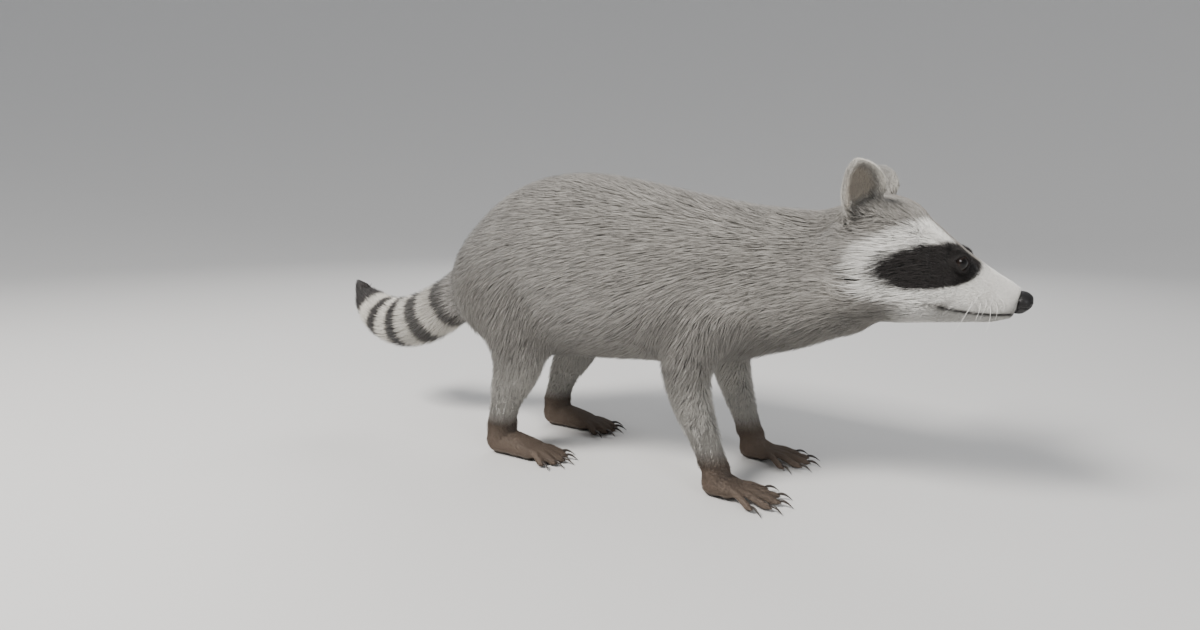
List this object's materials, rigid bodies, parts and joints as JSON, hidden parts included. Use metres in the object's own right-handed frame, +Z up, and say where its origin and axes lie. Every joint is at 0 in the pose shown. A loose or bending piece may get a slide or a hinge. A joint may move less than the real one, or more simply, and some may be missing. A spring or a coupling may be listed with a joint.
{
  "type": "raccoon",
  "caption": "Life-size still figure of an adult raccoon that stands on four feet, head level and forward, ringed tail lowered with its tip turned up.",
  "frame": {"origin": "on the floor under the middle of the whole animal's bounding box", "axes": "+X forward towards the nose, +Y to the animal's left, +Z up; the soles stand on z = 0"},
  "size_m": [0.7972, 0.2034, 0.3202],
  "materials": {
    "fur": "grizzled grey fur, matt",
    "tail": "long fur in dark and buff rings, matt",
    "ear": "short pale fur, matt",
    "paw": "short brown fur and bare skin, matt",
    "nose": "moist black skin, semi-gloss",
    "eye": "dark brown, glossy",
    "claw": "dark horn, satin"
  },
  "bodies": {
    "root": {"head": "fur", "neck": "fur", "trunk": "fur", "foreleg_left": "fur", "foreleg_right": "fur", "hindleg_left": "fur", "hindleg_right": "fur", "tail_base": "tail", "tail_middle": "tail", "tail_tip": "tail", "ear_left": "ear", "ear_right": "ear", "eye_left": "eye", "eye_right": "eye", "nose": "nose", "forepaw_left": "paw", "forepaw_right": "paw", "hindpaw_left": "paw", "hindpaw_right": "paw", "claw_fore_left_1": "claw", "claw_fore_left_2": "claw", "claw_fore_left_3": "claw", "claw_fore_left_4": "claw", "claw_fore_left_5": "claw", "claw_fore_right_1": "claw", "claw_fore_right_2": "claw", "claw_fore_right_3": "claw", "claw_fore_right_4": "claw", "claw_fore_right_5": "claw", "claw_hind_left_1": "claw", "claw_hind_left_2": "claw", "claw_hind_left_3": "claw", "claw_hind_left_4": "claw", "claw_hind_left_5": "claw", "claw_hind_right_1": "claw", "claw_hind_right_2": "claw", "claw_hind_right_3": "claw", "claw_hind_right_4": "claw", "claw_hind_right_5": "claw"}
  },
  "joints": []
}
